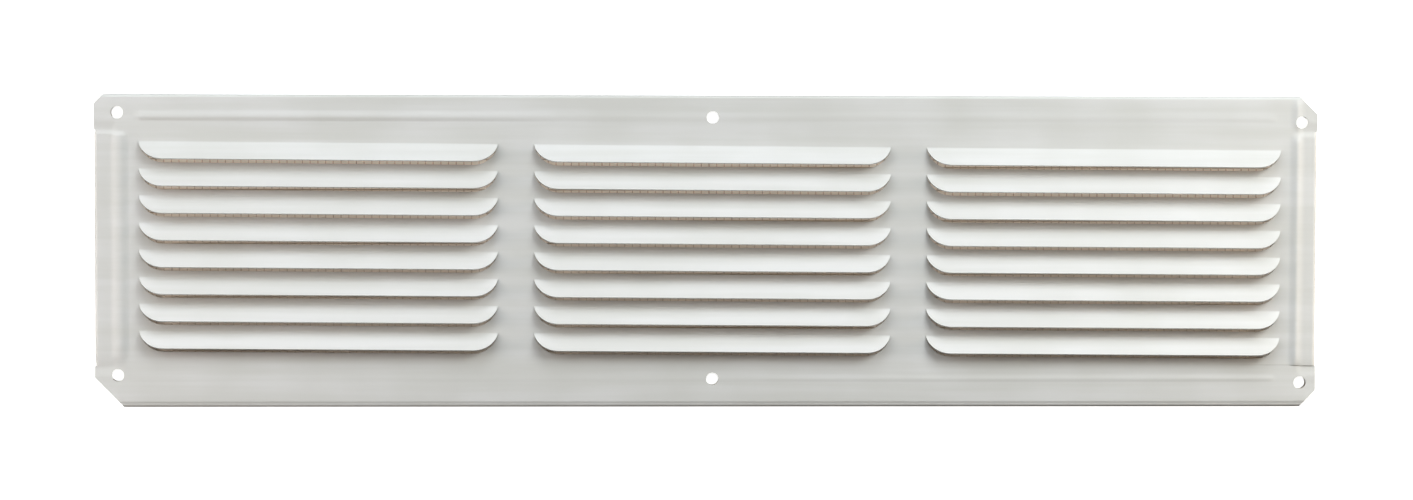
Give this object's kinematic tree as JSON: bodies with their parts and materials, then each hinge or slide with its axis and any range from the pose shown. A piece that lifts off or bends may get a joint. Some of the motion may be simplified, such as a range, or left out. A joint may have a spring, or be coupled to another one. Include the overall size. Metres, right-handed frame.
{
  "type": "soffit vent",
  "caption": "Rectangular louvred vent for the underside of a roof overhang: a hemmed sheet with banks of slats bent out of it, screw holes round its rim and an insect screen behind.",
  "frame": {"origin": "middle of the vent's outline, on the plane of the backs of its hems, where it lies on a surface or meets the soffit board", "axes": "+X along the length, +Y to the long edge that the slats hang from, +Z out of the face"},
  "size_m": [0.4064, 0.1036, 0.0063],
  "materials": {
    "panel": "white baked coil paint on aluminium sheet, satin",
    "screen": "bare drawn wire, dulled"
  },
  "bodies": {
    "root": {"louvred_panel": "panel", "insect_screen": "screen"}
  },
  "joints": []
}
